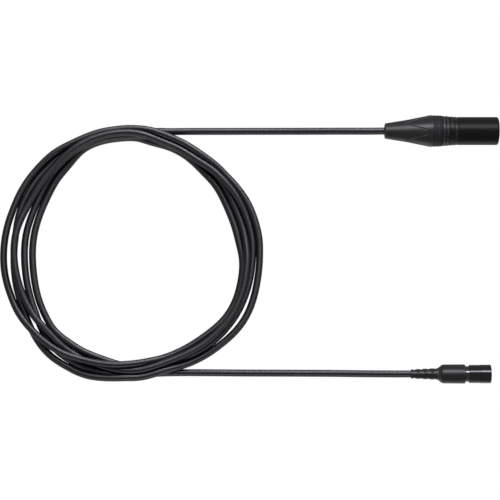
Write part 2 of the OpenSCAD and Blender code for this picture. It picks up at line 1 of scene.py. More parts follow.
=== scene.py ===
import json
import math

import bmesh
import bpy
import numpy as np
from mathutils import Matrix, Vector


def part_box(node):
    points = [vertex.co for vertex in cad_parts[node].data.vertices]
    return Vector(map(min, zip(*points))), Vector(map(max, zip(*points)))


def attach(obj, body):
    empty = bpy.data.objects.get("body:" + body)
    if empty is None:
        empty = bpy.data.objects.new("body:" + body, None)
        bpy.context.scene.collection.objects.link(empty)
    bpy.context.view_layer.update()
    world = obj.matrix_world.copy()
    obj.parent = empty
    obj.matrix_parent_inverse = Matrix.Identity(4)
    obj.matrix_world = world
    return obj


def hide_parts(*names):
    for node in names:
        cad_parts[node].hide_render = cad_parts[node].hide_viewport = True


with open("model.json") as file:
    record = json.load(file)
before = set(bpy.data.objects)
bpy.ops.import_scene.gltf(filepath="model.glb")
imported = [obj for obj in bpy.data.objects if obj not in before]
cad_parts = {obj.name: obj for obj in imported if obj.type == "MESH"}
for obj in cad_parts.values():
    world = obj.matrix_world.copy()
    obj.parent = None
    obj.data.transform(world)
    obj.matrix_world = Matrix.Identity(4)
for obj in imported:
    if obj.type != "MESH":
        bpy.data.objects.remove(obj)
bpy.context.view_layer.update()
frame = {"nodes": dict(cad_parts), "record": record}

# %% [markdown]
# # A coiled cable with two connectors
#
# The object is a black audio cable, laid in a loose coil on a white surface. One end carries an
# XLR connector with a tapered boot, the other a small round push-pull connector with a moulded
# strain relief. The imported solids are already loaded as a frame. This script lays skins of fine
# detail over the solids that show, gives every solid a finish, and sets up light and camera.
#
# The scene is in metres. The outlines of the connectors and the cable's route are typed in
# millimetres, and `MM` turns one into the other.

MM = 0.001

# %% [markdown]
# ## The camera
#
# The cable is looked at from straight above. A camera that hangs high over a flat subject shows it
# almost without perspective. The lens is chosen from the width that has to fit the square frame,
# measured in the plane in which the connectors' axes lie.

# %% Camera straight above
VIEW_CENTRE = Vector((-0.1309, -0.00025, 0.010))
VIEW_WIDTH = 0.3425
VIEW_HEIGHT = 1.1

camera_data = bpy.data.cameras.new("camera")
camera_data.sensor_fit = "HORIZONTAL"
camera_data.lens = camera_data.sensor_width * VIEW_HEIGHT / VIEW_WIDTH
camera_data.clip_end = 20
camera = bpy.data.objects.new("camera", camera_data)
camera.location = VIEW_CENTRE + Vector((0, 0, VIEW_HEIGHT))
bpy.context.scene.collection.objects.link(camera)
bpy.context.scene.camera = camera
print("lens:", round(camera_data.lens, 1), "mm")

# %% [markdown]
# ## Meshes from grids of points
#
# Every new piece here is a grid: rows run along a profile, columns run around it. Numpy works out
# all points of a grid at once, and the faces follow from the grid's size alone. Where a grid
# closes on itself, or shrinks to one point at a pole, the doubled points are merged at the end, so
# that the skin is closed.


# %% Grid to mesh
WELD = 1e-7
SHARP_FROM = math.radians(40)


def grid_faces(rows, columns, first):
    """Corner numbers of a grid's quads. Columns close into a ring, so column number `columns` is
    column 0 again; rows stay open."""
    i = np.arange(rows - 1)[:, None]
    j = np.arange(columns)[None, :]
    after = (j + 1) % columns
    this_row, next_row = i * columns, (i + 1) * columns
    corners = [this_row + j, this_row + after, next_row + after, next_row + j]
    return first + np.stack(corners, axis=-1).reshape(-1, 4)


def grid_uv(rows_at, columns_at):
    """Texture place of every quad corner: how far around, then how far along, in metres."""
    along, around = np.meshgrid(rows_at, columns_at, indexing="ij")
    uv = np.stack([around, along], axis=-1)
    quads = np.stack([uv[:-1, :-1], uv[:-1, 1:], uv[1:, 1:], uv[1:, :-1]], axis=2)
    return quads.reshape(-1, 2)


def build_mesh(name, grids, uv=None):
    """A closed mesh from a list of (points, wear) grids, smooth but for its sharp corners.
    wear says, from 0 to 1, how much an edge stands out to be rubbed and to carry a
    painted highlight, and is kept as the attribute `wear`."""
    sizes = [points.shape[0] * points.shape[1] for points, _ in grids]
    firsts = np.concatenate([[0], np.cumsum(sizes)[:-1]])
    places = np.concatenate([points.reshape(-1, 3) for points, _ in grids])
    wear = np.concatenate([np.broadcast_to(w, points.shape[:2]).ravel() for points, w in grids])
    faces = np.concatenate([
        grid_faces(*points.shape[:2], first) for (points, _), first in zip(grids, firsts)
    ])
    mesh = bpy.data.meshes.new(name)
    mesh.vertices.add(len(places))
    mesh.vertices.foreach_set("co", places.ravel())
    mesh.loops.add(faces.size)
    mesh.loops.foreach_set("vertex_index", faces.ravel())
    mesh.polygons.add(len(faces))
    mesh.polygons.foreach_set("loop_start", np.arange(0, faces.size, 4))
    mesh.update(calc_edges=True)
    layer = mesh.attributes.new("wear", "FLOAT", "POINT")
    layer.data.foreach_set("value", wear)
    if uv is not None:
        mesh.uv_layers.new(name="along").data.foreach_set("uv", uv.ravel())
    shell = bmesh.new()
    shell.from_mesh(mesh)
    bmesh.ops.remove_doubles(shell, verts=shell.verts, dist=WELD)
    bmesh.ops.dissolve_degenerate(shell, edges=shell.edges, dist=WELD)
    bmesh.ops.recalc_face_normals(shell, faces=shell.faces)
    shell.to_mesh(mesh)
    shell.free()
    mesh.shade_smooth()
    mesh.set_sharp_from_angle(angle=SHARP_FROM)
    return mesh


def add_piece(name, mesh, material, nodes, body="cable"):
    """Puts a mesh into the scene as a piece that stands for CAD nodes and rides on a body."""
    piece = bpy.data.objects.new(name, mesh)
    bpy.context.scene.collection.objects.link(piece)
    mesh.materials.append(material)
    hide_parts(*nodes)
    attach(piece, body)
    print(name, "has", len(mesh.polygons), "faces")
    return piece


# %% [markdown]
# ## Finishes
#
# Almost everything is black or dark grey here, so the finishes differ in their gloss, their grain
# and what happens at the edges. One recipe serves them all: a Principled shader, a noise that
# varies the roughness a little, a finer noise that raises the surface, and a lighter, smoother
# tone where an attribute marks an edge, partly for wear and partly as a painted highlight. All
# noises read Object coordinates, so that they stay on the piece when it moves.


# %% A recipe for plastic, rubber and metal
CLOUD_SCALE = 120
GRAIN_DEPTH = 0.1 * MM


def finish(name, colour, roughness, grain_mm=0.3, bump=0.05, metallic=0.0, patchy=0.05, wear_and_sheen_gain=0.0,
           gloss=0.5):
    """A Principled material. colour is linear; grain_mm is the size of the surface grain; patchy is
    how far the roughness swings; wear_and_sheen_gain is how much lighter and glossier a marked edge
    gets, the lighter colour being partly wear and partly a painted highlight; gloss is the strength
    of the clear reflection, 0.5 for common plastic."""
    material = bpy.data.materials.new(name)
    material.use_nodes = True
    nodes = material.node_tree.nodes
    links = material.node_tree.links
    shader = nodes["Principled BSDF"]
    shader.inputs["Metallic"].default_value = metallic
    shader.inputs["Specular IOR Level"].default_value = gloss
    place = nodes.new("ShaderNodeTexCoord")

    clouds = nodes.new("ShaderNodeTexNoise")
    clouds.inputs["Scale"].default_value = CLOUD_SCALE
    clouds.inputs["Detail"].default_value = 4
    links.new(place.outputs["Object"], clouds.inputs["Vector"])
    swing = nodes.new("ShaderNodeMapRange")
    swing.inputs["To Min"].default_value = roughness - patchy
    swing.inputs["To Max"].default_value = roughness + patchy
    links.new(clouds.outputs["Fac"], swing.inputs["Value"])
    links.new(swing.outputs["Result"], shader.inputs["Roughness"])

    shader.inputs["Base Color"].default_value = (*colour, 1)
    # Marked edges get more gloss and a paler base colour, which is partly wear and partly a painted
    # highlight.
    if wear_and_sheen_gain > 0:
        edge = nodes.new("ShaderNodeAttribute")
        edge.attribute_name = "wear"
        rubbed_and_lit = nodes.new("ShaderNodeMath")
        rubbed_and_lit.operation = "MULTIPLY"
        rubbed_and_lit.inputs[1].default_value = wear_and_sheen_gain
        links.new(edge.outputs["Fac"], rubbed_and_lit.inputs[0])
        tint = nodes.new("ShaderNodeMix")
        tint.data_type = "RGBA"
        # painted highlight and wear: the paler colour that marked edges take on
        paler_wear_and_highlight = [min(1, 0.05 + 2 * c) for c in colour]
        tint.inputs["A"].default_value = (*colour, 1)
        tint.inputs["B"].default_value = (*paler_wear_and_highlight, 1)
        links.new(rubbed_and_lit.outputs["Value"], tint.inputs["Factor"])
        links.new(tint.outputs["Result"], shader.inputs["Base Color"])
        polish = nodes.new("ShaderNodeMapRange")
        polish.inputs["To Min"].default_value = gloss
        polish.inputs["To Max"].default_value = 1.0
        links.new(rubbed_and_lit.outputs["Value"], polish.inputs["Value"])
        links.new(polish.outputs["Result"], shader.inputs["Specular IOR Level"])

    grain = nodes.new("ShaderNodeTexNoise")
    grain.inputs["Scale"].default_value = 1 / (grain_mm * MM)
    grain.inputs["Detail"].default_value = 3
    links.new(place.outputs["Object"], grain.inputs["Vector"])
    raised = nodes.new("ShaderNodeBump")
    raised.inputs["Strength"].default_value = bump
    raised.inputs["Distance"].default_value = GRAIN_DEPTH
    links.new(grain.outputs["Fac"], raised.inputs["Height"])
    links.new(raised.outputs["Normal"], shader.inputs["Normal"])
    return material


# %% [markdown]
# ## The cable's route
#
# The cable leaves the XLR connector straight back, sinks to the surface, winds four and a half
# turns anticlockwise, and comes back to the small connector. Each turn wanders a little and passes
# over and under the others. The free leads are lists of points, the same as in the solids. For
# the turns, one table gives the radius and one the layer at every 20 degrees, and a smooth curve
# carries the cable from station to station.

# %% Leads and turns
CABLE_D = 4.9 * MM
XLR_BACK, XLR_ACROSS = -38.8, 81.175
MINI_BACK, MINI_ACROSS = -20.3, -85.425
COIL_X, COIL_Y = -212.5, -3.525

# Behind the connector, sideways, and height of the cable's middle, in millimetres
XLR_LEAD = np.array([
    (0, 0, 10.8), (10, -0.1, 10.8), (22, -0.05, 10.1), (34, 0.05, 8.6), (46, 0.15, 6.7),
    (58, 0.25, 4.9), (70, 0.35, 3.5), (82, 0.4, 2.75), (95, 0.4, 2.45), (108, 0.35, 2.45),
    (121, 0.35, 2.45), (139, 0.3, 2.45),
])
MINI_LEAD = np.array([
    (0, 0, 6.55), (10, 0, 6.55), (22, 0, 5.8), (34, 0, 4.6), (46, 0.05, 3.5), (58, 0.1, 2.7),
    (70, 0.15, 2.5), (84, 0.2, 2.45), (98, 0.25, 2.45), (112, 0.3, 2.45), (126, 0.4, 2.45),
    (140, 0.5, 2.45), (155, 0.55, 2.45),
])

# Radius of each turn in millimetres, every 20 degrees from the top of the coil: a line for each
# half of a turn
TURN_STEP = 20
TURNS = (
    (84.3, 84.6, 83.5, 83.5, 81.2, 81.8, 84.5, 89.2, 87.9),
    (84, 83, 86.3, 89.6, 88.4, 88, 86.6, 83.4, 84.5),
    (85.8, 86.2, 87.5, 87.2, 88, 88.4, 86.6, 83.3, 78.4),
    (75.8, 74.4, 75.2, 78.3, 77.3, 76.2, 75, 78, 79.6),
    (81.4, 81.6, 74.7, 69.8, 68.6, 68.8, 71.9, 75.6, 76.4),
    (77.2, 79.5, 81.7, 83, 83.2, 83.2, 82.3, 80.5, 80.5),
    (83.6, 83.4, 80, 78.4, 80.6, 80, 79, 77.6, 78.6),
    (79.5, 77.5, 79, 80.5, 79.8, 78.4, 78, 80.5, 82.2),
    (82.2, 82.2, 79, 74.6, 74.1, 74.3, 77.3, 83.5, 83.9, 82),
)
# Layer at the same places, a line for each turn: 0 lies on the surface, 1 on one cable, 2 on two
LAYERS = (
    (0, 0, 0, 0, 0, 0, 0, 0, 0, 1, 1, 0, 0, 0, 0, 0, 0, 1),
    (1, 1, 0, 0, 0, 0, 1, 1, 2, 1, 0, 0, 0, 0, 0, 0, 0, 0),
    (0, 0, 0, 0, 0, 0, 0, 0, 0, 0, 0, 0, 0, 0, 0, 1, 2, 2),
    (2, 2, 1, 1, 1, 1, 1, 1, 1, 1, 1, 1, 1, 1, 1, 0, 1, 1),
    (1, 1, 0, 0, 0, 0, 0, 0, 0, 0),
)


def smooth_curve(x, stations, values):
    """Cubic through the stations. With t from 0 to 1 in a piece, its value is
    (2t³ − 3t² + 1)·v0 + (t³ − 2t² + t)·gap·slope0 + (3t² − 2t³)·v1 + (t³ − t²)·gap·slope1, where
    a slope is the mean of the slopes on both sides."""
    slopes = np.gradient(values, stations)
    i = np.clip(np.searchsorted(stations, x) - 1, 0, len(stations) - 2)
    gap = stations[i + 1] - stations[i]
    t = (x - stations[i]) / gap
    start = (2 * t**3 - 3 * t**2 + 1) * values[i] + (t**3 - 2 * t**2 + t) * gap * slopes[i]
    end = (3 * t**2 - 2 * t**3) * values[i + 1] + (t**3 - t**2) * gap * slopes[i + 1]
    return start + end


def lead_line(lead, back, across):
    """Points of a lead: x runs back from the connector, y is its sideways shift."""
    return np.stack([back - lead[:, 0], across + lead[:, 1], lead[:, 2]], axis=1)


radii = np.concatenate(TURNS).astype(float)
layers = np.concatenate(LAYERS).astype(float)
stations = 90.0 + TURN_STEP * np.arange(len(radii))
degrees = np.arange(stations[0], stations[-1] + 1, 2.0)  # a point every 2 degrees
radius = smooth_curve(degrees, stations, radii)
height = (0.5 + np.interp(degrees, stations, layers)) * CABLE_D / MM
turn_line = np.stack([
    COIL_X + radius * np.cos(np.radians(degrees)),
    COIL_Y + radius * np.sin(np.radians(degrees)),
    height,
], axis=1)
laid_line = MM * np.concatenate([
    lead_line(XLR_LEAD, XLR_BACK, XLR_ACROSS),
    turn_line,
    lead_line(MINI_LEAD, MINI_BACK, MINI_ACROSS)[::-1],
])
print("turns:", round((degrees[-1] - degrees[0]) / 360, 1))

# %% [markdown]
# ## Letting the coil settle
#
# The route above only says which turn lies over which. A real cable is springy: where it crosses
# another it rises in a long low hump, and elsewhere it sinks until it touches. A small simulation
# does the same. Each step lowers every point a little, draws it back towards its place as seen
# from above, evens out the bending, and pushes apart any two points that are closer than one
# cable diameter. The two ends stay where the connectors hold them. Nothing here is random, so the
# coil comes out the same each time.

# %% Settle the turns
POINT_GAP = 2 * MM
SETTLE_STEPS, SMOOTH_STEPS = 500, 60
DROP = 0.12 * MM            # how far every point sinks in the first step
PULL_BACK = 0.1             # share of the way back to its place from above
EVEN_OUT = 0.15             # share of an uneven bend that one step takes away
SAG, LAST_SAG = 0.15, 0.1   # share of all curl in height that goes as well
HARD_PUSH, SOFT_PUSH = 1.3, 0.6
XLR_HELD, MINI_HELD = 75 * MM, 65 * MM
NEAR = CABLE_D + 3 * MM     # only points that start this close can come to touch
SKIPPED = 8                 # neighbours along the cable never push each other


def evenly_spaced(line, gap):
    """Points along the smooth curve through a line, one gap apart."""
    run = np.concatenate([[0], np.cumsum(np.linalg.norm(np.diff(line, axis=0), axis=1))])
    at = np.append(np.arange(0, run[-1], gap), run[-1])
    return np.stack([smooth_curve(at, run, line[:, k]) for k in range(3)], axis=1)


def springy(points, bending, sag):
    """Evens out the bending: each point moves by the difference between its own curl and the mean
    curl of its neighbours, and by a part of its curl in height alone."""
    curl = np.zeros_like(points)
    curl[1:-1] = (points[:-2] + points[2:]) / 2 - points[1:-1]
    uneven = np.zeros_like(points)
    uneven[2:-2] = curl[2:-2] - (curl[1:-3] + curl[3:-1]) / 2
    return points + bending * uneven + sag * curl * (0, 0, 1)


def kept_apart(points, one, other, gain):
    """Pairs closer than a diameter move apart along the line between them, each by half of what is
    missing. A point in several pairs takes the mean. Nothing sinks below the surface."""
    apart = points[one] - points[other]
    distance = np.linalg.norm(apart, axis=1)
    touch = distance < CABLE_D
    a, b = one[touch], other[touch]
    push = ((CABLE_D - distance[touch]) / distance[touch] / 2)[:, None] * apart[touch]
    count = len(points)
    moved = np.stack([
        np.bincount(a, push[:, k], count) - np.bincount(b, push[:, k], count) for k in range(3)
    ], axis=1)
    shares = np.bincount(a, minlength=count) + np.bincount(b, minlength=count)
    points = points + gain * moved / np.maximum(shares, 1)[:, None]
    points[:, 2] = np.maximum(points[:, 2], CABLE_D / 2)
    return points


laid = evenly_spaced(laid_line, POINT_GAP)
run = POINT_GAP * np.arange(len(laid))
held = ((run < XLR_HELD) | (run > run[-1] - MINI_HELD))[:, None]
one, other = np.triu_indices(len(laid), k=SKIPPED)
close = np.linalg.norm(laid[one, :2] - laid[other, :2], axis=1) < NEAR
one, other = one[close], other[close]
settled = laid.copy()
for step in range(SETTLE_STEPS):
    settled[:, 2] -= DROP * (1 - step / SETTLE_STEPS)
    settled[:, :2] += PULL_BACK * (laid - settled)[:, :2]
    for _ in range(2):
        settled = springy(settled, EVEN_OUT, SAG)
    for _ in range(2):
        settled = kept_apart(settled, one, other, HARD_PUSH)
    settled = np.where(held, laid, settled)
for _ in range(SMOOTH_STEPS):
    settled = kept_apart(springy(settled, EVEN_OUT, LAST_SAG), one, other, SOFT_PUSH)
    settled = np.where(held, laid, settled)

# %% [markdown]
# ## The cable's jacket
#
# The jacket is extruded PVC: a satin black with a bluish cast and very fine lines along the cable.
# The lines follow the route, so this finish reads the tube's UV map, with the grain stretched
# along it. The highlight is drawn out the same way, as on any surface with fine lines.


# %% Jacket finish
LINES_ACROSS, LINES_ALONG = 6000, 60
LINE_STRENGTH, LINE_DEPTH = 0.06, 0.05 * MM
DRAWN_OUT, QUARTER_TURN = 0.8, 0.25


def jacket_finish():
    """Satin extruded plastic: fine lines along the cable, a slow change of gloss, and a highlight
    that is drawn out along the cable."""
    material = finish("jacket_black", (0.006, 0.006, 0.0075), 0.42, 0.25, 0.04, gloss=0.45)
    nodes = material.node_tree.nodes
    links = material.node_tree.links
    uv = nodes.new("ShaderNodeUVMap")
    uv.uv_map = "along"
    stretch = nodes.new("ShaderNodeMapping")
    stretch.inputs["Scale"].default_value = (LINES_ACROSS, LINES_ALONG, 1)
    links.new(uv.outputs["UV"], stretch.inputs["Vector"])
    lines = nodes.new("ShaderNodeTexNoise")
    lines.inputs["Scale"].default_value = 1
    lines.inputs["Detail"].default_value = 2
    links.new(stretch.outputs["Vector"], lines.inputs["Vector"])
    drawn = nodes.new("ShaderNodeBump")
    drawn.inputs["Strength"].default_value = LINE_STRENGTH
    drawn.inputs["Distance"].default_value = LINE_DEPTH
    raised = nodes["Bump"]
    shader = nodes["Principled BSDF"]
    links.new(lines.outputs["Fac"], drawn.inputs["Height"])
    links.new(raised.outputs["Normal"], drawn.inputs["Normal"])
    links.new(drawn.outputs["Normal"], shader.inputs["Normal"])
    around = nodes.new("ShaderNodeTangent")
    around.direction_type = "UV_MAP"
    around.uv_map = "along"
    links.new(around.outputs["Tangent"], shader.inputs["Tangent"])
    shader.inputs["Anisotropic"].default_value = DRAWN_OUT
    shader.inputs["Anisotropic Rotation"].default_value = QUARTER_TURN
    return material


# %% [markdown]
# The tube has its own UV map: around it in one direction, along it in the other, both in metres.


# %% Tube along the settled line
def tube_grid(line, diameter, sides):
    """Rings square to a line: centre + r·(cos a·side + sin a·up), where side is level and up is
    square to it and to the line. The end rows shrink to the line's two ends."""
    ahead = np.gradient(line, axis=0)
    ahead /= np.linalg.norm(ahead, axis=1)[:, None]
    side = np.cross((0, 0, 1), ahead)
    side /= np.linalg.norm(side, axis=1)[:, None]
    up = np.cross(ahead, side)
    angle = 2 * math.pi * np.arange(sides) / sides
    cos, sin = np.cos(angle)[:, None], np.sin(angle)[:, None]
    rings = line[:, None] + diameter / 2 * (cos * side[:, None] + sin * up[:, None])
    caps = [np.broadcast_to(line[k], (1, sides, 3)) for k in (0, -1)]
    return np.concatenate([caps[0], rings, caps[1]])


TUBE_SIDES = 24
tube = tube_grid(settled, CABLE_D, TUBE_SIDES)
tube_run = POINT_GAP * np.concatenate([[0], np.arange(len(settled) + 1)])
tube_around = math.pi * CABLE_D * np.arange(TUBE_SIDES + 1) / TUBE_SIDES
tube_mesh = build_mesh("cable", [(tube, 0)], grid_uv(tube_run, tube_around))
cable = add_piece(
    "cable", tube_mesh, jacket_finish(), ("cable_coil", "lead_xlr", "lead_mini")
)

# %% [markdown]
# ## Turned parts
#
# Nearly every piece of the two connectors is turned: an outline carried around an axis. A moulded
# or turned part has no knife-sharp corners, and the small roundings are what catch the light. So
# the outlines are typed as plain corners with a softness each, and every corner becomes a short
# curve before the outline is carried around. A corner that points outwards is marked for wear and
# for a painted highlight along its rounding.


# %% Seats, outlines and rings
def seat_of(node):
    """The middle of a turned node's rear end: where its connector's axis starts."""
    low, high = np.array(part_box(node))
    return np.array([low[0], (low[1] + high[1]) / 2, (low[2] + high[2]) / 2])


def around_axis(seat, x, r, angle):
    """Places at x along the axis and r from it, in millimetres. The angle is 0 on top and grows
    towards −Y: y = −r·sin(angle), z = r·cos(angle)."""
    x, r, angle = np.broadcast_arrays(x, r, angle)
    return seat + MM * np.stack([x, -r * np.sin(angle), r * np.cos(angle)], axis=-1)


def softened(corners, steps=6):
    """Rounds every corner C = (distance, radius, softness) of a closed outline. With softness s,
    and with A and B at s before and after C, the corner becomes (1−t)²·A + 2t(1−t)·C + t²·B. One
    more point on either side, 1.4·s from C, keeps the flats flat. Returns distance, radius and
    the edge mark as columns; the mark stands for wear and a painted highlight on outward corners."""
    corners = np.array(corners, float)
    at = corners[:, :2]
    back = np.roll(at, 1, axis=0) - at
    back /= np.linalg.norm(back, axis=1)[:, None]
    on = -np.roll(back, -1, axis=0)
    soft = corners[:, None, 2:]
    a = at[:, None] + soft * back[:, None]
    b = at[:, None] + soft * on[:, None]
    t = np.linspace(0, 1, steps + 1)[None, :, None]
    curve = (1 - t)**2 * a + 2 * t * (1 - t) * at[:, None] + t**2 * b
    before = at[:, None] + 1.4 * soft * back[:, None]
    after = at[:, None] + 1.4 * soft * on[:, None]
    outline = np.concatenate([before, curve, after], axis=1)
    outward = back[:, 1] * on[:, 0] - back[:, 0] * on[:, 1] > 0
    wear = np.zeros(outline.shape[:2])
    # outward roundings: marked for wear and a painted highlight, most at their middle
    wear[:, 1:-1] = outward[:, None] * np.sin(math.pi * t[:, :, 0])
    x, r = outline.reshape(-1, 2).T
    closed = np.append(np.arange(len(x)), 0)
    return x[closed, None], r[closed, None], wear.reshape(-1, 1)[closed]


def ring_angles(sides):
    """Even steps around the axis."""
    return 2 * math.pi * np.arange(sides)[None, :] / sides


def turned(seat, corners, sides=144):
    """Grid of a turned piece, from the corners of its closed outline."""
    x, r, wear = softened(corners)
    return around_axis(seat, x, r, ring_angles(sides)), wear


XLR = seat_of("xlr_boot")
MINI = seat_of("mini_boot")
print("XLR axis starts at", XLR.round(4), "and the small connector's at", MINI.round(4))

# %% [markdown]
# ## Rubber boot and hard bushing
#
# The XLR connector's rear is one smooth cone shared by two pieces. The soft boot covers the cable
# and reaches forward in four tongues, and the hard bushing's wings fill the wedges between them.
# The seam between the two is what one sees, so both pieces are grids whose edge follows the seam:
# for each angle, `seam_at` says how far forward the boot reaches. Its straight flanks and its
# rounded front end are joined by a soft minimum. The boot stands turned by eight degrees.

# %% The seam between boot and wings
CONE_LEN, CONE_REAR_R, COLLAR_R = 30.8, 5.2, 10.8
WAIST_X, WAIST_R, WAIST_SOFT = 16.0, 7.75, 1.2
WING_TIP, TONGUE_END, TONGUE_NOSE, NOSE_SOFT = 14.0, 28.5, 28.7, 0.5
TONGUE_HALF = math.radians(9)
CONE_SIDES = 240
CONE_TURN = math.radians(8)


def cone(x):
    """Radius of the shared cone, which opens wider in front of its waist. The bend there is soft:
    s·log(1 + exp((x − waist)/s)) grows from nothing to x − waist around the waist."""
    rear_slope = (WAIST_R - CONE_REAR_R) / WAIST_X
    front_slope = (COLLAR_R - WAIST_R) / (CONE_LEN - WAIST_X)
    past = WAIST_SOFT * np.logaddexp(0, (x - WAIST_X) / WAIST_SOFT)
    return CONE_REAR_R + rear_slope * x + (front_slope - rear_slope) * past


def seam_at(angle):
    """How far forward the boot reaches at an angle, and how much the seam leans there. A wedge
    point at x has its flank (x − tip)/(end − tip)·half width beside its own middle plane."""
    fold = np.abs((angle + math.pi / 4) % (math.pi / 2) - math.pi / 4)
    x = np.linspace(WING_TIP, CONE_LEN + 3, 400)
    half_width = cone(TONGUE_END) * math.sin(math.pi / 4 - TONGUE_HALF)
    flank = half_width * (x - WING_TIP) / (TONGUE_END - WING_TIP)
    tongue = math.pi / 4 - np.arcsin(flank / cone(x))
    straight = np.interp(fold, tongue[::-1], x[::-1])
    reach = -NOSE_SOFT * np.logaddexp(-straight / NOSE_SOFT, -TONGUE_NOSE / NOSE_SOFT)
    slope = np.gradient(reach[0], angle[0])[None, :] / cone(reach)
    return reach, np.sqrt(1 + slope**2)


angle = ring_angles(CONE_SIDES)
seam, lean = seam_at(angle)
print("boot reaches from", round(float(seam.min()), 1), "to", round(float(seam.max()), 1), "mm")

# %% [markdown]
# A row of the boot's grid is given by how far along it lies, and by its radius. Behind the wing
# tips the rows are plain rings. In front of them they are stretched, so that the last one lies on
# the seam. The edge is rounded off over the last third of a millimetre, measured square to the
# seam, which is why the rounding is multiplied by the seam's lean.


# %% Rows along the seam
SEAM_GAP, SEAM_SOFT = 0.16, 0.34
COVER = 1.1                 # thickness of tongues and wings
FLAT = 0.3                  # the first stretched row lies this far from the rounding
share = np.linspace(0, 1, 15)[:, None]


def edge_rows(edge, into):
    """Rows that round off an edge which runs at `edge`: a quarter circle from the cone's surface
    down the wall. into is +1 where the piece lies ahead of its edge, −1 where it lies behind."""
    turn = np.linspace(0, math.pi / 2, 6)[:, None]
    x = edge + into * SEAM_SOFT * lean * (1 - np.sin(turn))
    r = cone(x) - SEAM_SOFT * (1 - np.cos(turn))
    # the seam's rounding is marked for wear and a painted highlight, most halfway round
    wear = np.broadcast_to(np.sin(2 * turn), x.shape)
    return x, r, wear


def rows_of(*parts):
    """Stacks rows given as (x, r, wear), each a number, a column or a full grid."""
    full = []
    for part in parts:
        shape = np.broadcast_shapes(*[np.shape(value) for value in part], (1, CONE_SIDES))
        full.append([np.broadcast_to(value, shape) for value in part])
    return [np.concatenate([part[k] for part in full]) for k in range(3)]


# %% [markdown]
# The boot's outline starts in the hole for the cable, comes around the rounded rear end, follows
# the cone to the seam, and goes back inside: under the tongues, then through the wide pocket into
# which the bushing's core fits.

# %% Boot
CABLE_HOLE_R, POCKET_X, POCKET_R, REAR_SOFT = 2.5, 7.9, 3.8, 1.2

fan_start = WING_TIP - 1.0
boot_edge = seam - SEAM_GAP * lean
boot_x, boot_r, boot_wear_and_sheen = edge_rows(boot_edge, -1)
forward = fan_start + (boot_x[:1] - FLAT * lean - fan_start) * share
inner = fan_start + (boot_edge - fan_start) * share[::-1]
rear_turn = np.linspace(0, math.pi / 2, 7)[:, None]
rear_x = REAR_SOFT * (1 - np.sin(rear_turn))
rear_r = cone(REAR_SOFT) - REAR_SOFT * (1 - np.cos(rear_turn))
plain = np.linspace(1.5, fan_start - 0.5, 12)[:, None]
# The third value marks edges for wear and a painted highlight: the cable hole's lip, the rear
# rounding and the seam.
boot_x, boot_r, boot_wear_and_sheen = rows_of(
    (POCKET_X, CABLE_HOLE_R, 0), (0.25, CABLE_HOLE_R, 0),
    (0.06, CABLE_HOLE_R + 0.06, 0.5), (0, CABLE_HOLE_R + 0.25, 0.5), (0, 3.2, 0),
    (rear_x[::-1], rear_r[::-1], 0.5 * np.sin(2 * rear_turn)),
    (plain, cone(plain), 0),
    (forward, cone(forward), 0),
    (boot_x, boot_r, boot_wear_and_sheen),
    (inner, cone(inner) - COVER, 0),
    (fan_start, POCKET_R, 0), (POCKET_X, POCKET_R, 0), (POCKET_X, CABLE_HOLE_R, 0),
)
boot_grid = around_axis(XLR, boot_x, boot_r, angle + CONE_TURN), boot_wear_and_sheen
boot_rubber = finish(
    "boot_rubber", (0.008, 0.008, 0.009), 0.42, 0.18, 0.12, wear_and_sheen_gain=0.6, gloss=0.54
)
add_piece("xlr_boot_skin", build_mesh("xlr_boot_skin", [boot_grid]), boot_rubber, ["xlr_boot"])

# %% [markdown]
# The bushing is the boot's counterpart. Its outer shell starts at the seam and runs forward over
# the cone to the collar, which has a fine groove around it. Under the tongues it goes on as a
# plain core, a turned piece of its own in the same mesh.

# %% Bushing with wings and collar
THREAD_X, THREAD_R = 29.2, 9.25
CORE_X, CORE_HOLE_R, CORE_R, MOUTH_R = 8, 2.55, 3.75, 8.4

wing_edge = seam + SEAM_GAP * lean
wing_x, wing_r, wing_wear_and_sheen = edge_rows(wing_edge, 1)
ahead = wing_x[:1] + FLAT * lean + (CONE_LEN - 0.2 - wing_x[:1] - FLAT * lean) * share
under = wing_edge + (THREAD_X - 0.1 - wing_edge) * share[::-1]
# Distance, radius and edge mark: the mark is wear and a painted highlight on the collar's rims.
collar_line = np.array([
    (30.72, 10.77, 0.6), (30.79, 10.7, 1), (30.81, 10.5, 0), (30.95, 10.5, 0), (30.97, 10.68, 1),
    (31.07, 10.78, 0.6), (31.25, 10.8, 0), (32.3, 10.8, 0), (32.48, 10.77, 0.6), (32.58, 10.66, 1),
    (32.6, 10.45, 0), (32.6, THREAD_R, 0), (THREAD_X, THREAD_R, 0), (THREAD_X - 0.1, MOUTH_R, 0),
])
bushing_x, bushing_r, bushing_wear_and_sheen = rows_of(
    (wing_edge, cone(wing_edge) - COVER, 0),
    (wing_x[::-1], wing_r[::-1], wing_wear_and_sheen),
    (ahead, cone(ahead), 0),
    collar_line.T[:, :, None],
    (under, cone(under) - COVER - 0.05, 0),
    (wing_edge, cone(wing_edge) - COVER, 0),
)
bushing_grid = around_axis(XLR, bushing_x, bushing_r, angle + CONE_TURN), bushing_wear_and_sheen
core_grid = turned(XLR, [
    (CORE_X, CORE_HOLE_R, 0), (CORE_X, CORE_R, 0), (13, CORE_R, 0), (13, cone(13) - COVER, 0),
    (WAIST_X, cone(WAIST_X) - COVER, 0.5), (THREAD_X, cone(THREAD_X) - COVER, 0),
    (THREAD_X, MOUTH_R, 0), (27.1, 7.85, 0), (14.4, 4.9, 0), (14.4, CORE_HOLE_R, 0),
])
bushing_plastic = finish(
    "bushing_grey", (0.008, 0.008, 0.009), 0.36, 0.35, 0.06, wear_and_sheen_gain=0.6, gloss=0.5
)
add_piece("xlr_bushing_skin", build_mesh("xlr_bushing_skin", [bushing_grid, core_grid]),
          bushing_plastic, ["xlr_bushing"])

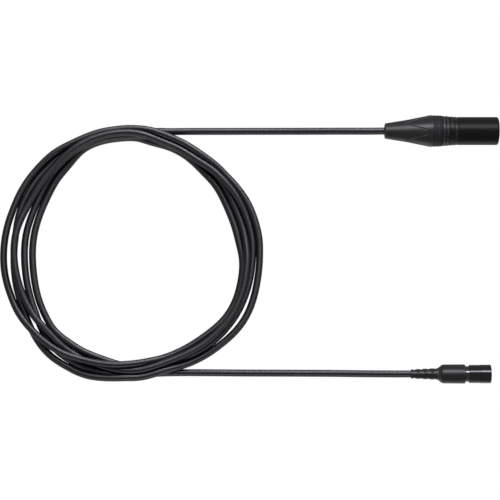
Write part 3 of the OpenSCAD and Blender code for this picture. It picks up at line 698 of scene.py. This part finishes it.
# %% [markdown]
# ## Coding ring and shell
#
# The shell is turned and plated: a rounded rear end, a cone with three fine grooves, then a smooth
# tube to the front. Its mouth is open, and one sees the insert and the five pins in it. The cone's
# bend and the grooves come as two short functions, which the outline further down uses.

# %% Shoulder and grooves
SHELL_X, XLR_LEN, SHELL_R, CAVITY_R = 39.0, 77.6, 9.575, 7.95
SHOULDER_X, SHOULDER_LEN, SHOULDER_R = 40.4, 9.5, 10.3
GROOVES = (44.05, 46.75, 49.45)
GROOVE_DEPTH = 0.25


def shoulder(x):
    """Radius of the shell's cone, which eases into the smooth tube: with `rest` as the part of the
    cone that is left, it is shell + (rear − shell)·rest^1.3."""
    rest = max(0, 1 - (x - SHOULDER_X) / SHOULDER_LEN)
    return SHELL_R + (SHOULDER_R - SHELL_R) * rest**1.3


def groove(x):
    """Corners of a groove around the shell: edge, floor, floor, edge."""
    floor_r = shoulder(x) - GROOVE_DEPTH
    return [
        (x - 0.45, shoulder(x - 0.45), 0.1), (x - 0.25, floor_r, 0.06),
        (x + 0.25, floor_r, 0.06), (x + 0.45, shoulder(x + 0.45), 0.1),
    ]


# %% [markdown]
# A plain grey ring, which can be had in other colours, sits between the collar and the shell. It
# has a broad shallow hollow between two rims, and a narrow lip at its front.

# %% Coding ring
RING_X, LIP_X, RING_R, LIP_R = 32.7, 37.4, 10.7, 10.6
hollow_r, neck_r, ring_end = RING_R - 0.09, RING_R - 0.4, SHELL_X - 0.1

ring_grid = turned(XLR, [
    (RING_X, THREAD_R, 0), (RING_X, RING_R - 0.08, 0.2), (33.3, RING_R, 0.25),
    (34.0, RING_R, 0.15), (34.15, hollow_r, 0.06), (36.4, hollow_r, 0.06),
    (36.55, RING_R, 0.15), (LIP_X - 0.3, RING_R, 0.15), (LIP_X - 0.15, neck_r, 0.05),
    (LIP_X + 0.15, neck_r, 0.05), (LIP_X + 0.35, LIP_R, 0.25), (SHELL_X - 0.35, LIP_R, 0.25),
    (ring_end, LIP_R - 0.4, 0.1), (ring_end, THREAD_R, 0),
])
ring_plastic = finish(
    "ring_grey", (0.011, 0.0114, 0.0122), 0.58, 0.25, 0.06, wear_and_sheen_gain=0.8, gloss=0.28
)
add_piece("xlr_coding_ring_skin", build_mesh("xlr_coding_ring_skin", [ring_grid]), ring_plastic,
          ["xlr_coding_ring"])

# %% [markdown]
# The shell's outline starts in its rear bore, passes the thread that the bushing is screwed on,
# and comes out at a narrow raised band. Points on the slopes between the grooves keep the cone's
# soft bend. The whole band is marked as well, as the part that gets rubbed first and as a painted
# highlight: a paler, glossier ring.

# %% Shell
THREAD_REAR_X, SHELL_THREAD_R, REAR_BORE_R, WALL_X = 29.3, 9.2, 8.35, 60.1
BAND_X, BAND_R = 39.9, SHOULDER_R + 0.02
NOTCH_REAR_X, NOTCH_FRONT_X = 40.75, 41.1

slope_points = [(x, shoulder(x), 0) for x in (42.2, 42.9, 45.4, 48.1, 50.4)]
shell_corners = sorted(slope_points + [corner for x in GROOVES for corner in groove(x)])
shell_x, shell_r, shell_wear_and_sheen = softened([
    (THREAD_REAR_X, REAR_BORE_R, 0), (THREAD_REAR_X, SHELL_THREAD_R, 0),
    (SHELL_X, SHELL_THREAD_R, 0), (SHELL_X, SHOULDER_R - 0.35, 0.1),
    (BAND_X - 0.6, BAND_R, 0.2), (BAND_X + 0.6, BAND_R, 0.2),
    (NOTCH_REAR_X, shoulder(NOTCH_REAR_X) - GROOVE_DEPTH, 0.1),
    (NOTCH_FRONT_X, shoulder(NOTCH_FRONT_X) - GROOVE_DEPTH, 0.1),
    (41.4, shoulder(41.4), 0.1), *shell_corners,
    (XLR_LEN - 1.1, SHELL_R, 0.35), (XLR_LEN - 0.3, SHELL_R - 0.32, 0.25),
    (XLR_LEN, SHELL_R - 1.1, 0.2), (XLR_LEN, CAVITY_R, 0.2), (WALL_X, CAVITY_R, 0),
    (WALL_X, REAR_BORE_R, 0),
])
# painted highlight and wear: the raised band becomes a paler, glossier ring all round
on_band = (np.abs(shell_x - BAND_X) < 0.6) & (shell_r > SHOULDER_R - 0.1)
shell_wear_and_sheen = np.maximum(shell_wear_and_sheen, 0.6 * on_band)
shell_grid = around_axis(XLR, shell_x, shell_r, ring_angles(144)), shell_wear_and_sheen
shell_black = finish(
    "shell_black", (0.004, 0.004, 0.0042), 0.38, 0.15, 0.03, patchy=0.03, wear_and_sheen_gain=0.6, gloss=0.18
)
add_piece("xlr_shell_skin", build_mesh("xlr_shell_skin", [shell_grid]), shell_black, ["xlr_shell"])

# %% [markdown]
# ## Strain relief and grip of the small connector
#
# One rubber moulding holds the cable and the metal barrel. Its thin rear part is cut by four rows
# of slots, staggered so that it bends evenly. The slots are part of the surface itself: wherever
# a slot lies, the radius sinks almost to the cable.
#
# The outline runs along the outside to the front, then back through the pocket for the barrel.
# Between its rear rounding and the grip it is a plain cone, and there it gets more rows, set close
# together at each slot's ends, so that the edges come out crisp.

# %% Moulding outline
RELIEF_LEN, RELIEF_REAR_R, RELIEF_FRONT_R, GRIP_R = 18.2, 3.15, 4.0, 6.55
GRIP_LEN, GRIP_POCKET_X, GRIP_POCKET_R = 37, 33.5, 5.4
SLOT_START, SLOT_PITCH, SLOT_LEN, SLOT_SOFT = 1.5, 4.8, 1.7, 0.28

moulding_x, moulding_r, moulding_wear_and_sheen = softened([
    (0, CABLE_HOLE_R, 0.1), (0, RELIEF_REAR_R, 0.3), (RELIEF_LEN, RELIEF_FRONT_R, 0.8),
    (19.52, 4.9, 0.4), (20.92, 6.14, 0.4), (22.2, GRIP_R - 0.06, 0.3),
    (GRIP_LEN, GRIP_R + 0.05, 0.35), (GRIP_LEN, GRIP_POCKET_R, 0),
    (GRIP_POCKET_X, GRIP_POCKET_R, 0), (GRIP_POCKET_X, 3.15, 0), (21, 3.15, 0),
    (21, CABLE_HOLE_R, 0),
])
slots = [SLOT_START + SLOT_PITCH * (k + 0.5 * odd) for k in range(4) for odd in (0, 1)]
slots = np.array([x for x in slots if x + SLOT_LEN < RELIEF_LEN])
edges = np.array([0, 0.35, 0.7, 1]) * SLOT_SOFT
rear_ends = (slots[:, None] + edges).ravel()
front_ends = (slots[:, None] + SLOT_LEN - edges).ravel()
extra = np.sort(np.concatenate([rear_ends, front_ends]))[:, None]
extra_r = RELIEF_REAR_R + (RELIEF_FRONT_R - RELIEF_REAR_R) * extra / RELIEF_LEN
cut = int(np.argmax(moulding_x[:, 0] > 1))
moulding_x = np.concatenate([moulding_x[:cut], extra, moulding_x[cut:]])
moulding_r = np.concatenate([moulding_r[:cut], extra_r, moulding_r[cut:]])
moulding_wear_and_sheen = np.concatenate([moulding_wear_and_sheen[:cut], 0 * extra, moulding_wear_and_sheen[cut:]])
print(len(slots), "places along the relief have slots")

# %% [markdown]
# Each quarter turn has the same fan of columns, given from −1 to 1, where ±0.5 are the sides of a
# slot. The angle of a column depends on the radius, so that a slot stays equally wide on the cone.
# The depth at a point is the product of how far it is inside the slot along and across, and 4d(1−d)
# is greatest halfway down the edge: that is where the edge is marked most, for wear and for a
# painted highlight.

# %% Slots
SLOT_FLOOR, SLOT_HALF = 2.5, 1.6
SLOT_TURN = math.radians(85)


def ease(t):
    """Smooth step: 0 before 0, 1 after 1, 3t² − 2t³ between."""
    t = np.clip(t, 0, 1)
    return t * t * (3 - 2 * t)


across = np.array([-1, -0.85, -0.7, -0.6, -0.53, -0.5, -0.47, -0.44, -0.41, -0.35, -0.2])
across = np.concatenate([across, [0], -across[:0:-1]])
half = np.arcsin(SLOT_HALF / np.maximum(moulding_r, RELIEF_REAR_R))
inside = np.clip(np.abs(across), 0, 0.5) / 0.5 * half
beside = np.clip(np.abs(across) - 0.5, 0, None) / 0.5 * (math.pi / 4 - half)
fan = np.sign(across) * (inside + beside)
moulding_angle = np.concatenate([fan + SLOT_TURN + k * math.pi / 2 for k in range(4)], axis=1)
odd_row = np.repeat([0, 1, 0, 1], len(across))[None, :]
outer = (moulding_r > 2.9) & (moulding_x < RELIEF_LEN)  # not the hole for the cable
depth = np.zeros(moulding_angle.shape)
for number, slot in enumerate(slots):
    along = ease((moulding_x - slot) / SLOT_SOFT) * ease((slot + SLOT_LEN - moulding_x) / SLOT_SOFT)
    over = ease((0.5 - np.abs(np.tile(across, 4)[None, :])) / 0.09)
    depth += (odd_row == number % 2) * outer * along * over
sunk = moulding_r - (moulding_r - SLOT_FLOOR) * depth
# slot edges: marked for wear and a painted highlight, on top of the outline's own marks
slot_wear_and_sheen = moulding_wear_and_sheen + 4 * depth * (1 - depth) * (sunk > moulding_r - 0.6)
moulding_grid = around_axis(MINI, moulding_x, sunk, moulding_angle), np.clip(slot_wear_and_sheen, 0, 1)
mould_black = finish(
    "mould_black", (0.005, 0.005, 0.0055), 0.38, 0.14, 0.1, wear_and_sheen_gain=0.5, gloss=0.56
)
add_piece("mini_boot_skin", build_mesh("mini_boot_skin", [moulding_grid]), mould_black,
          ["mini_boot"])

# %% [markdown]
# ## Barrel and release sleeve
#
# A dark plated barrel comes out of the moulding. It has a groove near its front, where the snap
# ring sits that stops the sleeve.

# %% Barrel
NECK_R, NOSE_R, BARREL_BORE_R = 5.35, 4.6, 3.75
BARREL_X, SEAT_X, SNAP_X, SNAP_R, BARREL_END = 28.5, 42, 46.9, 4.3, 49.5

barrel_grid = turned(MINI, [
    (BARREL_X, BARREL_BORE_R, 0), (BARREL_X, NECK_R, 0), (SEAT_X, NECK_R, 0.1),
    (SEAT_X, NOSE_R, 0), (SNAP_X, NOSE_R, 0.05), (SNAP_X + 0.05, SNAP_R, 0),
    (SNAP_X + 0.95, SNAP_R, 0), (SNAP_X + 1, NOSE_R, 0.05), (BARREL_END, NOSE_R, 0.15),
    (BARREL_END, 3.25, 0.1), (49, 3.25, 0), (49, BARREL_BORE_R, 0),
])
barrel_dark = finish(
    "barrel_dark", (0.1, 0.1, 0.105), 0.12, 0.2, 0.01, metallic=1, patchy=0.02, wear_and_sheen_gain=0.3
)
add_piece("mini_barrel_skin", build_mesh("mini_barrel_skin", [barrel_grid]), barrel_dark,
          ["mini_barrel"])

# %% [markdown]
# The sleeve slides on the barrel, and pulling it back lets go of the mating connector. Its rear
# half has five ribs for the fingers, its front half is smooth. An inner lip runs up against the
# snap ring. The sleeve rides on a body of its own, so it can move.

# %% Release sleeve
SLEEVE_X, MINI_LEN, SLEEVE_R, SLEEVE_BORE_R = 39.7, 54.7, 6.35, 5.7
LIP_REAR_X, LIP_FRONT_X, SPRING_SEAT_X = 46.15, 47.15, 41.7
RIB_COUNT, RIB_H, RIB_START = 5, 0.22, 0.3

half_x = SLEEVE_X + 0.52 * (MINI_LEN - SLEEVE_X)
valley_r, rib_r = SLEEVE_R - RIB_H, SLEEVE_R - 0.08
rib_pitch = (half_x - SLEEVE_X - RIB_START) / RIB_COUNT
rib_starts = [SLEEVE_X + RIB_START + rib_pitch * (k + 0.2) for k in range(RIB_COUNT)]
ribs = [
    corner for x in rib_starts for corner in (
        (x, valley_r, 0.06), (x + 0.15, rib_r, 0.08),
        (x + 0.6 * rib_pitch - 0.15, rib_r, 0.08), (x + 0.6 * rib_pitch, valley_r, 0.06),
    )
]
sleeve_grid = turned(MINI, [
    (SLEEVE_X, NECK_R + 0.05, 0.05), (SLEEVE_X, valley_r - 0.25, 0.15),
    (SLEEVE_X + 0.35, valley_r, 0.1), *ribs,
    (half_x, valley_r, 0.06), (half_x + 0.15, SLEEVE_R, 0.06), (MINI_LEN, SLEEVE_R, 0.35),
    (MINI_LEN, SLEEVE_BORE_R, 0.15), (LIP_FRONT_X, SLEEVE_BORE_R, 0),
    (LIP_FRONT_X, NOSE_R + 0.05, 0.05), (LIP_REAR_X, NOSE_R + 0.05, 0.05),
    (LIP_REAR_X, SLEEVE_BORE_R, 0), (SPRING_SEAT_X, SLEEVE_BORE_R, 0),
    (SPRING_SEAT_X, NECK_R + 0.05, 0.05),
])
sleeve_black = finish(
    "sleeve_black", (0.055, 0.055, 0.057), 0.1, 0.2, 0.01, metallic=1, patchy=0.02, wear_and_sheen_gain=0.3
)
add_piece("mini_sleeve_skin", build_mesh("mini_sleeve_skin", [sleeve_grid]), sleeve_black,
          ["mini_sleeve"], "release_sleeve")

# %% [markdown]
# ## Finishes for the solids that stay
#
# The pins, the insulators, the latch and everything inside the connectors keep their solids. The
# record says which slot each one belongs to, so one table of finishes serves them all. The skins'
# own finishes are reused where a solid shares them.

# %% Finish every remaining solid
solid_finishes = {
    "jacket_black": cable.data.materials[0],
    "shell_black": shell_black,
    "insert_black": finish("insert_black", (0.018, 0.018, 0.019), 0.4, 0.2, 0.05),
    "spring_steel": finish("spring_steel", (0.6, 0.6, 0.61), 0.28, 0.1, 0.05, metallic=1),
    "chuck_grey": finish("chuck_grey", (0.55, 0.56, 0.56), 0.5, 0.2, 0.05),
    "bushing_grey": bushing_plastic,
    "boot_rubber": boot_rubber,
    "ring_grey": ring_plastic,
    "braid_copper": finish("braid_copper", (0.62, 0.34, 0.2), 0.35, 0.15, 0.4, metallic=1),
    "mould_black": mould_black,
    "barrel_dark": barrel_dark,
    "sleeve_black": sleeve_black,
    "contact_gold": finish("contact_gold", (0.85, 0.62, 0.26), 0.2, 0.3, 0.03, metallic=1),
    "core_red": finish("core_red", (0.55, 0.03, 0.03), 0.45, 0.2, 0.03),
    "core_blue": finish("core_blue", (0.03, 0.12, 0.5), 0.45, 0.2, 0.03),
    "core_yellow": finish("core_yellow", (0.75, 0.55, 0.04), 0.45, 0.2, 0.03),
    "core_green": finish("core_green", (0.03, 0.35, 0.1), 0.45, 0.2, 0.03),
    "core_white": finish("core_white", (0.75, 0.75, 0.72), 0.45, 0.2, 0.03),
}
for part in frame["record"]["subparts"]:
    solid = frame["nodes"][part["node"]].data
    solid.materials.clear()
    solid.materials.append(solid_finishes[part["material_slot"]])

# %% [markdown]
# ## Light and floor
#
# The object lies on a lit table: a white sheet that glows evenly by itself and takes almost no
# shadow.

# %% Floor
FLOOR_HALF, FLOOR_GLOW = 4, 0.99


def lit_table():
    """The white of the table, which comes almost wholly from its own glow."""
    material = finish("floor_pale", (0.04, 0.04, 0.04), 0.8, 2.0, 0.0, gloss=0.0)
    shader = material.node_tree.nodes["Principled BSDF"]
    shader.inputs["Emission Color"].default_value = (1, 1, 1, 1)
    shader.inputs["Emission Strength"].default_value = FLOOR_GLOW
    return material


corner_signs = [(-1, -1), (1, -1), (1, 1), (-1, 1)]
floor_corners = [(FLOOR_HALF * x, FLOOR_HALF * y, 0) for x, y in corner_signs]
floor_mesh = bpy.data.meshes.new("floor")
floor_mesh.from_pydata(floor_corners, [], [(0, 1, 2, 3)])
floor_mesh.materials.append(lit_table())
floor = bpy.data.objects.new("floor", floor_mesh)
floor.visible_glossy = False
bpy.context.scene.collection.objects.link(floor)

# %% [markdown]
# Gloss on black parts is only as good as what it reflects, so the room matters as much as the
# lights. The floor is hidden from reflections. What a black part shows instead is this surround,
# which has the lit table low down on the near side only.

# %% Surround
ROOM_GLOW, WALL_GLOW, TABLE_GLOW = 0.28, 0.15, 0.9


def surround():
    """A dim room with a pale wall on the far side, and the lit table seen low down on the near
    side. The strength is base + wall·far + table·near·low, each eased from the direction."""
    world = bpy.data.worlds.new("surround")
    world.use_nodes = True
    nodes = world.node_tree.nodes
    links = world.node_tree.links
    direction = nodes.new("ShaderNodeTexCoord")
    parts = nodes.new("ShaderNodeSeparateXYZ")
    links.new(direction.outputs["Generated"], parts.inputs["Vector"])

    def eased(axis, start, end):
        part = nodes.new("ShaderNodeMapRange")
        part.interpolation_type = "SMOOTHSTEP"
        part.inputs["From Min"].default_value = start
        part.inputs["From Max"].default_value = end
        links.new(parts.outputs[axis], part.inputs["Value"])
        return part.outputs["Result"]

    def sum_of(value, factor, rest):
        node = nodes.new("ShaderNodeMath")
        node.operation = "MULTIPLY_ADD"
        for socket, given in zip(node.inputs, (value, factor, rest)):
            if isinstance(given, float):
                socket.default_value = given
            else:
                links.new(given, socket)
        return node.outputs["Value"]

    near_low = sum_of(eased("Y", -0.3, -0.9), eased("Z", 0.1, -0.5), 0.0)
    strength = sum_of(near_low, TABLE_GLOW, sum_of(eased("Y", 0.6, 0.85), WALL_GLOW, ROOM_GLOW))
    links.new(strength, nodes["Background"].inputs["Strength"])
    nodes["Background"].inputs["Color"].default_value = (1, 1, 1, 1)
    return world


bpy.context.scene.world = surround()
bpy.context.scene.view_settings.view_transform = "Standard"

# %% [markdown]
# One long soft light above the far side draws the bright lines along both connectors. The cable
# has lights of its own, so that the lines on it can be set apart from those: one above, one low on
# the same side, and a faint one opposite.

# %% Lights
COOL = (0.92, 0.92, 1.0)


def soft_light(name, place, target, size, power):
    """A rectangular area light at a place, turned towards a target."""
    data = bpy.data.lights.new(name, "AREA")
    data.shape = "RECTANGLE"
    data.size, data.size_y = size
    data.energy = power
    data.color = COOL
    lamp = bpy.data.objects.new(name, data)
    lamp.location = place
    lamp.rotation_euler = (Vector(target) - Vector(place)).to_track_quat("-Z", "Y").to_euler()
    bpy.context.scene.collection.objects.link(lamp)
    return lamp


def placed(degrees, distance, x):
    """A place that far from the origin, leaning from straight up towards +Y, and shifted by x."""
    lean_angle = math.radians(degrees)
    return Vector((x, distance * math.sin(lean_angle), distance * math.cos(lean_angle)))


def lights_only(lamp, pieces):
    """Lets a lamp light only these pieces."""
    chosen = bpy.data.collections.new(lamp.name + "_lights")
    for piece in pieces:
        chosen.objects.link(piece)
    lamp.light_linking.receiver_collection = chosen


hard_parts = [o for o in bpy.data.objects if o.type == "MESH" and o not in (cable, floor)]
lights_only(soft_light("key", placed(36, 4, -0.25), (-0.1, 0, 0), (4.1, 1.3), 150), hard_parts)
lights_only(soft_light("cable_key", placed(37, 4, 0.6), (0.3, 0, 0), (2.4, 1.2), 112), [cable])
lights_only(soft_light("side", placed(70, 1.3, 0.25), (0.1, 0, 0), (1.1, 0.45), 31), [cable])
lights_only(soft_light("low", placed(-60, 1.3, 0.0), (0, 0, 0), (1.6, 0.45), 8), [cable])
